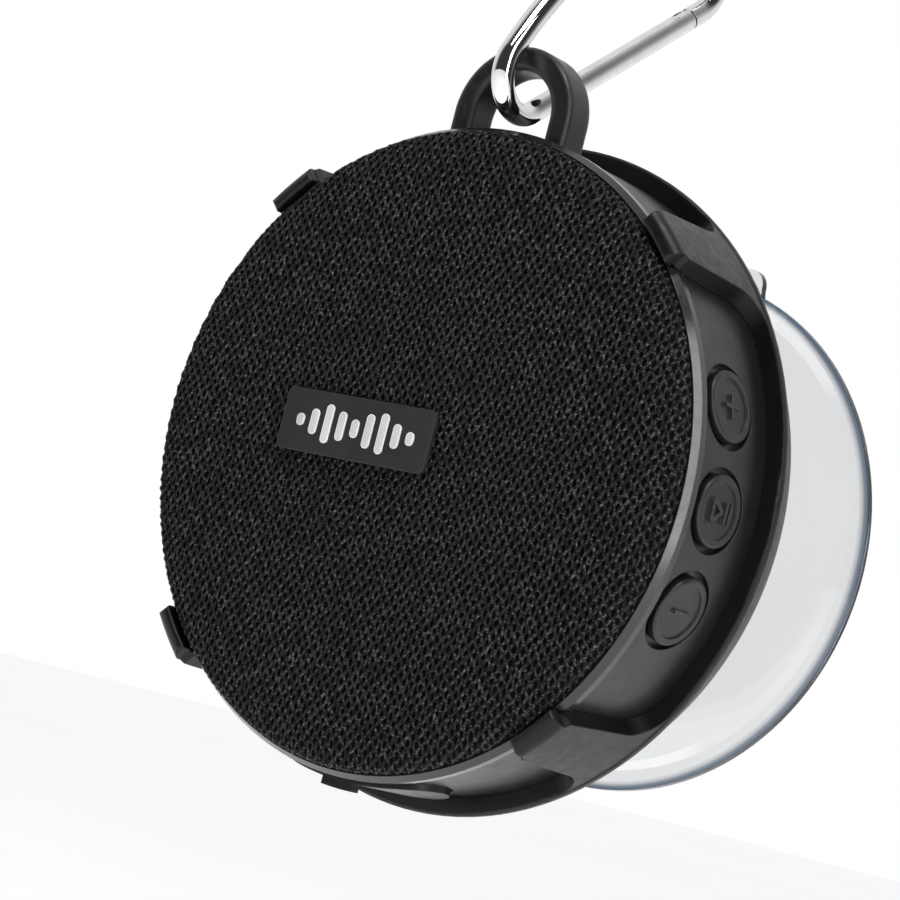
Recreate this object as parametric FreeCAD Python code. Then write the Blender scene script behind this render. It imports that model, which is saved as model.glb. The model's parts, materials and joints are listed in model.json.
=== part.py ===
"""Round shower speaker: mesh front, rubber bumper cage, hang loop with a
snap hook, and a screw-on suction cup.

Millimetres, +Z up, the grille faces -Y.  The origin is the centre of the
suction cup's sealing face, so a wall would be the plane y = 0.  Depths are
counted backwards from the front rim, and angles round the body start at +X
and turn towards +Z.
"""
import FreeCAD, Part
import os
from math import atan2, cos, degrees, hypot, pi, radians, sin, sqrt

V = FreeCAD.Vector
CENTRE = V(0, 0, 0)

# ---- driving dimensions -------------------------------------------------
BODY_DEPTH = 41.0          # front rim to the flat of the back
CUP_REACH = 26.0           # flat of the back to the wall
FRONT_Y = -(BODY_DEPTH + CUP_REACH)

RIM_R = 53.4               # outer radius of the front bezel
MESH_R = 52.4              # the mesh's rolled edge
BEZEL_DEPTH = 2.6
WALL_R = 53.0              # outer face of the side wall
WALL_T = 2.2
INNER_R = WALL_R - WALL_T
SPLIT_DEPTH = 24.0         # joint between front housing and rear cover
FIT = 0.05                 # gap left between parts that touch in a curve

RING_DEPTH = 20.5          # front edge of the bumper ring
RING_R = 56.2
CLAW_R = 56.0
CLAW_ANGLES = (45.5, 134.3, 223.8, 314.0)
CLAW_HALF_WIDTH = 5.9
NOSE_HALF_WIDTH = 4.35
NOSE_HEIGHT = 1.9          # how far a claw stands in front of the rim
NOSE_IN_R = 53.05
NOSE_ROUND_R = 2.1
CLAW_FLARE = 6.0           # radius where a claw runs into the ring

BAFFLE_DEPTH = 4.4
BAFFLE_T = 2.0
DRIVER_HOLE_R = 28.0

BUTTON_ANGLES = {"button_plus": 17.6, "button_play": 0.0, "button_minus": -17.6}
BUTTON_DEPTH = 9.5         # centre of the buttons behind the rim
BUTTON_R = 5.7
BUTTON_POCKET_R = 6.75
BUTTON_TOP_R = 53.6
BUTTON_TRAVEL = 0.7

LOOP_OUTER_R = 11.8
LOOP_BAR = 4.0             # thickness of the loop's bar across its plane
LOOP_WIDTH = 6.5           # along Y
LOOP_FRONT_DEPTH = 2.8
LOOP_CENTRE_Z = 56.2

FLAP_HALF_LENGTH = 15.0    # port flap, measured round the wall
FLAP_FRONT_DEPTH = 3.6
FLAP_BACK_DEPTH = 16.6
FLAP_R = 54.0
FLAP_GAP = 0.3
POCKET_FLOOR_R = 51.4
ANCHOR_HALF_LENGTH = 8.4
ANCHOR_DEPTHS = (FLAP_BACK_DEPTH + 0.75, FLAP_BACK_DEPTH + 2.4)

THREAD_PITCH = 1.27        # 1/4 inch - 20 stud
STUD_R = 3.175
STUD_GAP = 0.07
CUP_R = 46.0
CUP_LIP = 4.0              # width of the flat sealing ring
TAB_ANGLE = 84.0           # pull tab on the cup's edge
TAB_HALF_WIDTH = 10.2
TAB_TOP_R = 49.4

HOOK_WIRE = 3.8            # snap hook wire diameter
HOOK_LEAN = 42.0           # degrees from upright, towards the back
HOOK_BEND_R = 6.0          # bend under the loop's bar, to the wire's middle
HOOK_END_R = 9.0           # bend at the far end
GATE_ANGLE = 9.8           # degrees between the gate and the hook's own axis
SPINE_ANGLE = 16.0         # degrees between the spine's start and that axis
GATE_LENGTH = 48.5         # between the two bends, along the gate
GATE_PIVOT = 9.0           # along the gate line, from the first bend
GATE_TIP = 45.0
PIN_R = 0.8

BOARD_DEPTH = 29.4
BOARD_T = 1.6
BOARD_R = 37.0

SCREW_ANGLES = (45, 135, 215, 325)
SCREW_CIRCLE_R = 44.5


# ---- helpers ------------------------------------------------------------
def at(depth):
    """y of a point this far behind the front rim."""
    return FRONT_Y + depth


def outline(points, place):
    """Closed wire; a pair of points in the list is an arc's middle and end."""
    first = place(*points[0])
    here = first
    edges = []
    for item in points[1:]:
        if isinstance(item[0], tuple):
            middle, end = place(*item[0]), place(*item[1])
            edges.append(Part.Arc(here, middle, end).toShape())
        else:
            end = place(*item)
            edges.append(Part.LineSegment(here, end).toShape())
        here = end
    if here.distanceToPoint(first) > 1e-6:
        edges.append(Part.LineSegment(here, first).toShape())
    return Part.Wire(edges)


def turned(points):
    """Solid turned about the speaker's axis from (radius, depth) points."""
    face = Part.Face(outline(points, lambda r, d: V(r, at(d), 0)))
    return face.revolve(CENTRE, V(0, 1, 0), 360)


def tube(outer_r, inner_r, depth_a, depth_b):
    return turned([(inner_r, depth_a), (outer_r, depth_a), (outer_r, depth_b), (inner_r, depth_b)])


def disc(radius, depth_a, depth_b):
    return Part.makeCylinder(radius, depth_b - depth_a, V(0, at(depth_a), 0), V(0, 1, 0))


def around(shape, angle):
    """Copy of a shape, turned round the speaker's axis."""
    copy = shape.copy()
    copy.rotate(CENTRE, V(0, -1, 0), angle)
    return copy


def box(x0, x1, depth_a, depth_b, z0, z1):
    return Part.makeBox(x1 - x0, depth_b - depth_a, z1 - z0, V(x0, at(depth_a), z0))


def rod(radius, start, end):
    return Part.makeCylinder(radius, (end - start).Length, start, end - start)


def y_post(radius, x, z, depth_a, depth_b):
    return Part.makeCylinder(radius, depth_b - depth_a, V(x, at(depth_a), z), V(0, 1, 0))


def on_circle(radius, angle):
    return radius * cos(radians(angle)), radius * sin(radians(angle))


def fused(shapes):
    whole = shapes[0]
    if len(shapes) > 1:
        whole = whole.fuse(shapes[1:])
    return whole.removeSplitter()


def side_prism(points, r_in, r_out):
    """Outline in (tangent, depth) at +X, pushed out along the radius."""
    face = Part.Face(outline(points, lambda t, d: V(r_in, at(d), t)))
    return face.extrude(V(r_out - r_in, 0, 0))


def slot_points(half_length, depth_a, depth_b):
    """Round-ended slot outline in (tangent, depth)."""
    r = (depth_b - depth_a) / 2
    mid = (depth_a + depth_b) / 2
    straight = half_length - r
    return [(-straight, depth_a), (straight, depth_a),
            ((half_length, mid), (straight, depth_b)),
            (-straight, depth_b),
            ((-half_length, mid), (-straight, depth_a))]


def cable(points, radius):
    """Round cable along straight runs joined by tangent arcs."""
    edges = []
    here = points[0]
    for before, corner, after in zip(points, points[1:], points[2:]):
        a = (before - corner).normalize()
        b = (after - corner).normalize()
        half_turn = (pi - a.getAngle(b)) / 2
        shorter = min((before - corner).Length, (after - corner).Length)
        reach = 0.45 * shorter
        start, end = corner + a * reach, corner + b * reach
        inward = (a + b).normalize()
        centre_gap = reach / sin(half_turn) if half_turn > 0 else 0
        bend_r = reach * cos(half_turn) / sin(half_turn)
        middle = corner + inward * (centre_gap - bend_r)
        edges.append(Part.LineSegment(here, start).toShape())
        edges.append(Part.Arc(start, middle, end).toShape())
        here = end
    edges.append(Part.LineSegment(here, points[-1]).toShape())
    path = Part.Wire(edges)
    ring = Part.Wire(Part.makeCircle(radius, points[0], points[1] - points[0]))
    return path.makePipeShell([ring], True, False)


# ---- the outside of the body -------------------------------------------
BACK_FLAT_R = 33.0
BACK_CURVE = ((48.6, 35.0), (BACK_FLAT_R, BODY_DEPTH))   # arc: middle, end
BACK_CURVE_START = (WALL_R, 25.2)


def body_envelope(gap):
    """Everything inside the outer faces of the wall and rear cover."""
    (mid_r, mid_d), (end_r, end_d) = BACK_CURVE
    return turned([(0, BEZEL_DEPTH), (WALL_R + gap, BEZEL_DEPTH),
                   (BACK_CURVE_START[0] + gap, BACK_CURVE_START[1]),
                   ((mid_r + gap, mid_d + gap), (end_r, end_d + gap)),
                   (0, end_d + gap)])


def front_bezel():
    """Chamfered trim ring that holds the edge of the mesh."""
    inner = MESH_R + FIT
    return turned([(inner, 0), (inner + 0.1, 0), (RIM_R, 1.2), (RIM_R, BEZEL_DEPTH),
                   (52.0, BEZEL_DEPTH), (52.0, 1.5), (inner, 1.5)])


def grille_mesh():
    """Mesh cloth over a low crown, rolled down at its edge into the bezel."""
    inner = MESH_R - 0.55
    return turned([(0, -3.2), (2, -3.2), ((24, -3.12), (45.6, -2.85)), ((48.45, -2.59), (51.3, -1.95)),
                   ((52.09, -1.4), (MESH_R, -0.48)), (MESH_R, 1.45), (inner, 1.45), (inner, -0.48),
                   ((51.65, -1.07), (51.14, -1.42)), ((48.36, -2.04), (45.45, -2.3)),
                   ((24, -2.57), (2, -2.65)), (0, -2.65)])


def grille_support():
    """Domed plate with rings of round holes, behind the mesh."""
    plate = turned([(0, -2.6), (2, -2.6), ((24, -2.52), (45.3, -2.22)), (50.9, -1.33),
                    ((51.5, -1.0), (51.75, -0.45)), (51.75, 1.5), (50.4, 1.5), (50.4, -0.2),
                    (45.2, -1.0), ((24, -1.3), (2, -1.38)), (0, -1.38)])
    holes = []
    for ring, count in enumerate((6, 12, 18, 24, 30), start=1):
        for n in range(count):
            x, z = on_circle(ring * 8.6, 360 * (n + 0.5 * (ring % 2)) / count)
            holes.append(y_post(2.9, x, z, -4, 4))
    return plate.cut(Part.makeCompound(holes))


BADGE_CENTRE = (-9.15, 0.83)
BADGE_SIZE = (31.3, 10.3)
BADGE_DEPTHS = (-4.0, -3.25)   # front and back faces


def badge_plate():
    """Flat name plate with small round corners, set a little off centre."""
    (cx, cz), (width, height) = BADGE_CENTRE, BADGE_SIZE
    plate = box(cx - width / 2, cx + width / 2, *BADGE_DEPTHS, cz - height / 2, cz + height / 2)
    corners = [e for e in plate.Edges if abs(e.tangentAt(e.FirstParameter).y) > 0.9]
    return plate.makeFillet(1.2, corners)


def badge_bars():
    """Raised sound-level bars in place of any lettering."""
    (cx, cz), bar_r = BADGE_CENTRE, 0.75
    heights = (2.0, 4.2, 6.4, 4.8, 3.0, 5.6, 6.6, 4.0, 2.2)
    bars = []
    for n, height in enumerate(heights):
        x = cx + (n - (len(heights) - 1) / 2) * 2.9
        half = height / 2 - bar_r
        face = Part.Face(outline([(x - bar_r, cz - half), ((x, cz - half - bar_r), (x + bar_r, cz - half)),
                                  (x + bar_r, cz + half), ((x, cz + half + bar_r), (x - bar_r, cz + half))],
                                 lambda x, z: V(x, at(BADGE_DEPTHS[0]), z)))
        bars.append(face.extrude(V(0, -0.3, 0)))
    return Part.makeCompound(bars)


# ---- front housing ------------------------------------------------------
PORT_SOCKETS = {"charging_socket": 7.5, "audio_socket": -7.5}   # x of each socket
PORT_DEPTH = 10.4
SOCKET_MOUTH_Z = -49.8


def port_cutters(gap=0.35):
    """Openings in the wall for the two sockets."""
    usb = box(PORT_SOCKETS["charging_socket"] - 4.5 - gap, PORT_SOCKETS["charging_socket"] + 4.5 + gap,
              PORT_DEPTH - 1.6 - gap, PORT_DEPTH + 1.6 + gap, -60, -46)
    jack = rod(3.1 + gap, V(PORT_SOCKETS["audio_socket"], at(PORT_DEPTH), -60),
               V(PORT_SOCKETS["audio_socket"], at(PORT_DEPTH), -46))
    return [usb, jack]


def strip_points(half_length, depth_a, depth_b):
    return [(-half_length, depth_a), (half_length, depth_a), (half_length, depth_b), (-half_length, depth_b)]


def flap_pocket():
    """Pocket in the wall for the port flap, with a notch for its anchor."""
    floor = Part.makeCylinder(POCKET_FLOOR_R, 60, V(0, at(-5), 0), V(0, 1, 0))
    flap = side_prism(slot_points(FLAP_HALF_LENGTH + FLAP_GAP, FLAP_FRONT_DEPTH - FLAP_GAP,
                                  FLAP_BACK_DEPTH + FLAP_GAP), 40, 60)
    notch = side_prism(strip_points(ANCHOR_HALF_LENGTH + 0.1, FLAP_BACK_DEPTH - 2, ANCHOR_DEPTHS[1] + 0.1),
                       40, 60)
    return around(flap.fuse(notch), -90).cut(floor)


def front_housing():
    """Side wall and driver baffle in one moulding."""
    shell = turned([(INNER_R, 1.55), (51.95, 1.55), (51.95, BEZEL_DEPTH), (WALL_R, BEZEL_DEPTH),
                    (WALL_R, SPLIT_DEPTH), (INNER_R - 1.4, SPLIT_DEPTH), (INNER_R - 1.4, SPLIT_DEPTH - 3),
                    (INNER_R, SPLIT_DEPTH - 4.5), (INNER_R, BAFFLE_DEPTH + BAFFLE_T),
                    (DRIVER_HOLE_R, BAFFLE_DEPTH + BAFFLE_T), (DRIVER_HOLE_R, BAFFLE_DEPTH),
                    (INNER_R, BAFFLE_DEPTH)])
    bosses = []
    for angle in SCREW_ANGLES:
        x, z = on_circle(SCREW_CIRCLE_R, angle)
        bosses.append(y_post(3.6, x, z, BAFFLE_DEPTH + 1, SPLIT_DEPTH))
        web = box(SCREW_CIRCLE_R, INNER_R + 0.8, BAFFLE_DEPTH + 1, SPLIT_DEPTH, -0.8, 0.8)
        bosses.append(around(web, angle))
    port_block = box(-16, 16, BAFFLE_DEPTH + 1, 14.8, -50, -48.6)
    shell = fused([shell, port_block] + bosses)

    cutters = []
    for angle in BUTTON_ANGLES.values():
        pocket = rod(BUTTON_POCKET_R, V(51.45, at(BUTTON_DEPTH), 0), V(60, at(BUTTON_DEPTH), 0))
        stem_hole = rod(2.0, V(45, at(BUTTON_DEPTH), 0), V(60, at(BUTTON_DEPTH), 0))
        cutters += [around(pocket, angle), around(stem_hole, angle)]
    cutters.append(flap_pocket())
    cutters += port_cutters()
    reset_slot = side_prism(slot_points(1.1, 17.8, 18.3), WALL_R - 0.6, 60)
    cutters.append(around(reset_slot, -66))
    for angle in SCREW_ANGLES:
        x, z = on_circle(SCREW_CIRCLE_R, angle)
        cutters.append(y_post(1.15, x, z, 10, SPLIT_DEPTH + 1))
    for angle in DRIVER_SCREW_ANGLES:
        x, z = on_circle(DRIVER_SCREW_R, angle)
        cutters.append(y_post(0.9, x, z, BAFFLE_DEPTH - 1, 8))
    cutters.append(tube(52.4, 51.4, SPLIT_DEPTH - 0.8, SPLIT_DEPTH + 1))
    cutters.append(hang_loop())
    return shell.cut(cutters)


def housing_seal():
    """Square-section ring squeezed between the two shells."""
    return tube(52.35, 51.45, SPLIT_DEPTH - 0.75, SPLIT_DEPTH + 0.75)


def bumper_cage():
    """Rubber ring round the back edge with four claws that hook the rim."""
    ring = turned([(50, RING_DEPTH), (RING_R - 0.5, RING_DEPTH),
                   ((RING_R - 0.15, RING_DEPTH + 0.15), (RING_R, RING_DEPTH + 0.5)),
                   (RING_R, RING_DEPTH + 1.1), ((RING_R - 0.15, RING_DEPTH + 1.6), (55.5, RING_DEPTH + 2.3)),
                   (53.1, RING_DEPTH + 5.3), (50, RING_DEPTH + 7)])
    corner, turn = NOSE_ROUND_R, NOSE_ROUND_R * (1 - sqrt(0.5))
    band = turned([(NOSE_IN_R, 0.6 - NOSE_HEIGHT), ((NOSE_IN_R + 0.18, 0.18 - NOSE_HEIGHT),
                                                   (NOSE_IN_R + 0.6, -NOSE_HEIGHT)),
                   (CLAW_R - corner, -NOSE_HEIGHT),
                   ((CLAW_R - turn, turn - NOSE_HEIGHT), (CLAW_R, corner - NOSE_HEIGHT)),
                   (CLAW_R, RING_DEPTH + 1.1), ((CLAW_R - 0.15, RING_DEPTH + 1.6), (55.4, RING_DEPTH + 2.3)),
                   (50, RING_DEPTH + 2.3), (50, BEZEL_DEPTH + FIT), (RIM_R + FIT, BEZEL_DEPTH + FIT),
                   (RIM_R + FIT, -FIT), (NOSE_IN_R, -FIT)])
    n, w, flare = NOSE_HALF_WIDTH, CLAW_HALF_WIDTH, CLAW_FLARE
    bend = flare * (1 - sqrt(0.5))
    foot = RING_DEPTH + 0.03
    half = [(n - 1.0, -NOSE_HEIGHT - 0.1), ((n - 0.3, 0.2 - NOSE_HEIGHT), (n, 0.9 - NOSE_HEIGHT)),
            (n, 0.5), (n + 0.7, 1.1), (w, foot - flare), ((w + bend, foot - bend), (w + flare, foot)),
            (w + flare, foot + 2)]
    mirrored = [(-w - flare, foot + 2), (-w - flare, foot), ((-w - bend, foot - bend), (-w, foot - flare)),
                (-n - 0.7, 1.1), (-n, 0.5), (-n, 0.9 - NOSE_HEIGHT),
                ((-n + 0.3, 0.2 - NOSE_HEIGHT), (-n + 1.0, -NOSE_HEIGHT - 0.1))]
    prism = side_prism(half + mirrored, 45, 62)
    claw = band.common(prism)
    cage = fused([ring] + [around(claw, angle) for angle in CLAW_ANGLES])
    return cage.cut(body_envelope(FIT))


def hang_loop():
    """Rubber arch moulded into the top of the side wall."""
    outer, inner, z0 = LOOP_OUTER_R, LOOP_OUTER_R - LOOP_BAR, LOOP_CENTRE_Z
    foot = 51.2
    face = Part.Face(outline([(-outer, foot), (-outer, z0), ((0, z0 + outer), (outer, z0)), (outer, foot),
                              (inner, foot), (inner, z0), ((0, z0 + inner), (-inner, z0)), (-inner, foot)],
                             lambda x, z: V(x, at(LOOP_FRONT_DEPTH), z)))
    arch = face.extrude(V(0, LOOP_WIDTH, 0))
    front, back = at(LOOP_FRONT_DEPTH), at(LOOP_FRONT_DEPTH + LOOP_WIDTH)
    rims = [e for e in arch.Edges
            if all(abs(v.Y - y) < 1e-6 for v in e.Vertexes for y in [front if e.BoundBox.YMax < front + 1 else back])
            and e.BoundBox.YLength < 1e-6 and e.BoundBox.ZMax > foot + 0.5]
    return arch.makeFillet(1.1, rims)


# ---- buttons ------------------------------------------------------------
def emboss(strokes):
    """Raised strokes on a button face: (tangent, depth) start and end."""
    parts = []
    for (t0, d0), (t1, d1) in strokes:
        length, angle = hypot(t1 - t0, d1 - d0), degrees(atan2(t1 - t0, d1 - d0))
        bar = Part.makeBox(0.75, length, 0.7, V(BUTTON_TOP_R - 0.6, 0, -0.35))
        bar.rotate(CENTRE, V(1, 0, 0), angle)
        bar.translate(V(0, at(BUTTON_DEPTH + d0), t0))
        parts.append(bar)
    return parts


BUTTON_MARKS = {
    "button_plus": [((-1.9, 0), (1.9, 0)), ((0, -1.9), (0, 1.9))],
    "button_minus": [((0, -1.9), (0, 1.9))],
    "button_play": [((-1.7, -2.2), (1.7, -2.2)), ((1.7, -2.2), (0, 0.4)), ((-1.7, -2.2), (0, 0.4)),
                    ((-1.7, 1.4), (1.7, 1.4)), ((-1.7, 2.6), (1.7, 2.6))],
}


def button(name):
    """Rubber key with a raised edge, a mark and a stem to its switch."""
    y = at(BUTTON_DEPTH)
    pad = rod(BUTTON_R, V(52.2, y, 0), V(BUTTON_TOP_R, y, 0))
    top_edges = [e for e in pad.Edges if e.BoundBox.XMin > BUTTON_TOP_R - 0.01]
    pad = pad.makeFillet(0.5, top_edges)
    dish = rod(BUTTON_R - 1.3, V(BUTTON_TOP_R - 0.3, y, 0), V(BUTTON_TOP_R + 1, y, 0))
    stem = rod(1.6, V(47.2, y, 0), V(53, y, 0))
    marks = emboss(BUTTON_MARKS[name])
    return around(fused([pad.cut(dish), stem] + marks), BUTTON_ANGLES[name])


def button_seals():
    """Soft rings round the three stems, inside the wall."""
    y = at(BUTTON_DEPTH)
    ring = rod(2.9, V(48.6, y, 0), V(50.3, y, 0)).cut(rod(1.65, V(45, y, 0), V(60, y, 0)))
    return Part.makeCompound([around(ring, angle) for angle in BUTTON_ANGLES.values()])


def button_board():
    """Curved flexible board that carries the three switches."""
    return tube(44.4, 43.6, 6.9, 12.4).common(box(30, 50, 0, 20, -20, 20))


def tact_switches():
    y = at(BUTTON_DEPTH)
    case = Part.makeBox(1.7, 4.8, 4.8, V(44.45, y - 2.4, -2.4))
    key = rod(1.2, V(46, y, 0), V(46.45, y, 0))
    switch = case.fuse(key)
    return Part.makeCompound([around(switch, angle) for angle in BUTTON_ANGLES.values()])


# ---- charging port ------------------------------------------------------
def port_flap():
    """Rubber cover over the sockets, with a finger tab at its front edge."""
    cover = side_prism(slot_points(FLAP_HALF_LENGTH, FLAP_FRONT_DEPTH, FLAP_BACK_DEPTH), 45, 60)
    cover = cover.common(tube(FLAP_R, POCKET_FLOOR_R + 0.1, 0, 30))
    back = FLAP_FRONT_DEPTH + 1.7
    tab = side_prism([(-4.1, FLAP_FRONT_DEPTH), (2.4, FLAP_FRONT_DEPTH), (2.4, back), (-4.1, back)], 52, 60)
    tab = tab.common(tube(55.3, 52, 0, 30))
    return around(fused([cover, tab]), -90)


FLAP_HINGE = (at(FLAP_BACK_DEPTH + 0.35), -53.6)   # y, z of the fold line


def flap_anchor():
    """Strip of the same rubber, glued in the pocket behind the fold."""
    strip = side_prism(strip_points(ANCHOR_HALF_LENGTH, *ANCHOR_DEPTHS), 45, 60)
    return around(strip.common(tube(53.4, POCKET_FLOOR_R + FIT, 0, 30)), -90)


def charging_socket():
    """Steel shell with a centre tongue."""
    x, half_w, half_t = PORT_SOCKETS["charging_socket"], 4.45, 1.55
    shell = box(x - half_w, x + half_w, PORT_DEPTH - half_t, PORT_DEPTH + half_t, SOCKET_MOUTH_Z, -44.4)
    hollow = box(x - half_w + 0.3, x + half_w - 0.3, PORT_DEPTH - half_t + 0.3, PORT_DEPTH + half_t - 0.3,
                 -51, -45.4)
    tongue = box(x - 3.3, x + 3.3, PORT_DEPTH - 0.35, PORT_DEPTH + 0.35, SOCKET_MOUTH_Z + 0.8, -45)
    return fused([shell.cut(hollow), tongue])


def audio_socket():
    x, y = PORT_SOCKETS["audio_socket"], at(PORT_DEPTH)
    case = box(x - 3.1, x + 3.1, PORT_DEPTH - 2.5, PORT_DEPTH + 1.55, -48.2, -43.6)
    collar = rod(3.0, V(x, y, SOCKET_MOUTH_Z), V(x, y, -48.1))
    return case.fuse(collar).cut(rod(1.8, V(x, y, -51), V(x, y, -44.4)))


def port_board():
    return box(-14, 14, PORT_DEPTH + 1.6, PORT_DEPTH + 2.8, -48.0, -43.0)


# ---- driver -------------------------------------------------------------
FLANGE_DEPTH = BAFFLE_DEPTH + BAFFLE_T
DRIVER_SCREW_R = 30.6
DRIVER_SCREW_ANGLES = (0, 90, 180, 270)
PLATE_DEPTH = 17.0


def driver_frame():
    """Pressed basket: flange, ribs and a seat for the magnet."""
    basket = turned([(27.2, FLANGE_DEPTH), (33.4, FLANGE_DEPTH), (33.4, FLANGE_DEPTH + 1.2),
                     (28.4, FLANGE_DEPTH + 1.2), (20.0, 15.0), (20.0, PLATE_DEPTH), (9.0, PLATE_DEPTH),
                     (9.0, PLATE_DEPTH - 0.9), (19.0, PLATE_DEPTH - 0.9), (19.0, 14.6)])
    windows = []
    for n in range(6):
        hole = side_prism([(-4.5, 9.0), (4.5, 9.0), (3.2, 14.0), (-3.2, 14.0)], 10, 40)
        windows.append(around(hole, 30 + 60 * n))
    for angle in DRIVER_SCREW_ANGLES:
        x, z = on_circle(DRIVER_SCREW_R, angle)
        windows.append(y_post(1.2, x, z, 5, 9))
    return basket.cut(windows)


def driver_gasket():
    """Ring that holds the surround's edge down on the basket."""
    return tube(27.9, 27.25, FLANGE_DEPTH - 1.2, FLANGE_DEPTH - 0.45)


def top_plate():
    return tube(16.5, 7.9, PLATE_DEPTH, PLATE_DEPTH + 2.4)


def magnet_ring():
    return tube(18.5, 9.5, PLATE_DEPTH + 2.4, PLATE_DEPTH + 8.0)


def yoke():
    """Back plate with the vented centre pole."""
    back = disc(17.5, PLATE_DEPTH + 8.0, PLATE_DEPTH + 10.4)
    pole = disc(6.2, PLATE_DEPTH, PLATE_DEPTH + 9.0)
    return fused([back, pole]).cut(disc(1.8, PLATE_DEPTH - 1, PLATE_DEPTH + 12))


def voice_coil():
    """Former with its winding, riding in the magnet gap."""
    return turned([(6.55, 12.2), (6.85, 12.2), (6.85, 17.2), (7.5, 17.2), (7.5, 20.6), (6.55, 20.6)])


def driver_cone():
    return turned([(6.95, 12.6), ((13.5, 8.4), (23.0, 6.6)), (23.0, 7.3), ((13.8, 9.3), (6.95, 13.7))])


def dust_cap():
    return turned([(0, 8.4), (0.8, 8.4), ((5.0, 9.1), (8.5, 10.9)), (8.2, 11.4),
                   ((5.0, 9.75), (0.8, 9.0)), (0, 9.0)])


def driver_surround():
    """Half-roll of rubber between cone and basket."""
    front, back = FLANGE_DEPTH - 0.4, FLANGE_DEPTH - 0.02
    return turned([(22.0, front), (23.2, front), ((25.2, 4.0), (27.2, front)), (27.9, front), (27.9, back),
                   (26.9, back), ((25.2, 4.5), (23.5, back)), (22.0, back)])


def driver_spider():
    """Corrugated cloth disc that centres the coil."""
    top = [(6.95, 14.2)]
    steps = 6
    width = (18.4 - 6.95) / steps
    for n in range(steps):
        top.append((6.95 + width * (n + 1), 14.2 + 0.7 * ((n + 1) % 2)))
    under = [(r, d + 0.35) for r, d in reversed(top)]
    return turned(top + under)


def screw_group(places, head_r, head_t, shank_r, head_depth, tip_depth):
    """Screws along Y: heads at the back, tips towards the front."""
    screws = []
    for x, z in places:
        head = y_post(head_r, x, z, head_depth, head_depth + head_t)
        slot = box(x - 0.35, x + 0.35, head_depth + head_t - 0.7, head_depth + head_t + 1, z - 1.2, z + 1.2)
        cross = box(x - 1.2, x + 1.2, head_depth + head_t - 0.7, head_depth + head_t + 1, z - 0.35, z + 0.35)
        shank = y_post(shank_r, x, z, tip_depth, head_depth)
        screws.append(head.fuse(shank).cut([slot, cross]))
    return Part.makeCompound(screws)


def driver_screws():
    places = [on_circle(DRIVER_SCREW_R, a) for a in DRIVER_SCREW_ANGLES]
    return screw_group(places, 1.9, 1.3, 0.88, FLANGE_DEPTH + 1.2, BAFFLE_DEPTH + 0.3)


# ---- electronics and battery -------------------------------------------
BOARD_POST_ANGLES = (20, 160, 200, 340)
BOARD_POST_R = 33.5


def main_board():
    """Round board with a flat on each side for the leads."""
    board = disc(BOARD_R, BOARD_DEPTH, BOARD_DEPTH + BOARD_T)
    board = board.common(box(-40, 40, BOARD_DEPTH - 1, BOARD_DEPTH + 4, -30, 34))
    holes = [y_post(1.2, *on_circle(BOARD_POST_R, a), BOARD_DEPTH - 1, BOARD_DEPTH + 4)
             for a in BOARD_POST_ANGLES]
    return board.cut(holes)


def board_screws():
    """Short screws that hold the board on the rear cover's posts."""
    screws = []
    for angle in BOARD_POST_ANGLES:
        x, z = on_circle(BOARD_POST_R, angle)
        head = y_post(2.0, x, z, BOARD_DEPTH - 1.2, BOARD_DEPTH)
        shank = y_post(0.9, x, z, BOARD_DEPTH, BOARD_DEPTH + 4.6)
        slot = box(x - 1.4, x + 1.4, BOARD_DEPTH - 1.3, BOARD_DEPTH - 0.7, z - 0.3, z + 0.3)
        screws.append(head.fuse(shank).cut(slot))
    return Part.makeCompound(screws)


def radio_module():
    """Small daughter board under a metal can."""
    base = box(-24, -12, BOARD_DEPTH - 0.9, BOARD_DEPTH, 16, 30)
    can = box(-23, -13, BOARD_DEPTH - 2.6, BOARD_DEPTH - 0.9, 19.5, 29)
    return fused([base, can])


def amplifier_chip():
    return box(12, 19, BOARD_DEPTH - 1.2, BOARD_DEPTH, 20, 27)


def battery_cell():
    cell = rod(7.1, V(-24.5, at(19.0), -33.4), V(24.5, at(19.0), -33.4))
    button = rod(2.6, V(24.5, at(19.0), -33.4), V(25.6, at(19.0), -33.4))
    return cell.fuse(button)


def battery_pad():
    """Foam that holds the cell against the board."""
    pad = box(-18, 18, 21.5, BOARD_DEPTH - 0.05, -39.0, -28.2)
    return pad.cut(rod(7.15, V(-30, at(19.0), -33.4), V(30, at(19.0), -33.4)))


def microphone():
    return y_post(2.3, *on_circle(40, -28), BAFFLE_DEPTH - 1.6, BAFFLE_DEPTH)


def status_led():
    x, z = on_circle(40, -62)
    base = box(x - 1.6, x + 1.6, BAFFLE_DEPTH - 0.6, BAFFLE_DEPTH, z - 1.0, z + 1.0)
    lens = box(x - 0.9, x + 0.9, BAFFLE_DEPTH - 1.2, BAFFLE_DEPTH - 0.6, z - 0.7, z + 0.7)
    return fused([base, lens])


def speaker_leads():
    """Pair of leads from the basket to the main board."""
    pair = []
    for side in (-1, 1):
        x = 3.0 * side
        pair.append(cable([V(x, at(7.65), 32.0), V(x, at(12.0), 32.0), V(x * 1.5, at(17.0), 34.5),
                           V(x * 1.5, at(21.5), 31.5), V(x, at(26.0), 30.0),
                           V(x, at(BOARD_DEPTH - 0.02), 30.0)], 0.7))
    return Part.makeCompound(pair)


def battery_leads():
    pair = []
    for side in (-1, 1):
        end = 25.65 if side > 0 else 24.55
        pair.append(cable([V(end * side, at(19.0), -33.4), V((end + 3.4) * side, at(19.0), -33.4),
                           V((end + 3.4) * side, at(21.8), -29.6), V((end - 1.0) * side, at(25.2), -26.4),
                           V((end - 1.0) * side, at(BOARD_DEPTH - 0.02), -26.4)], 0.7))
    return Part.makeCompound(pair)


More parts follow.
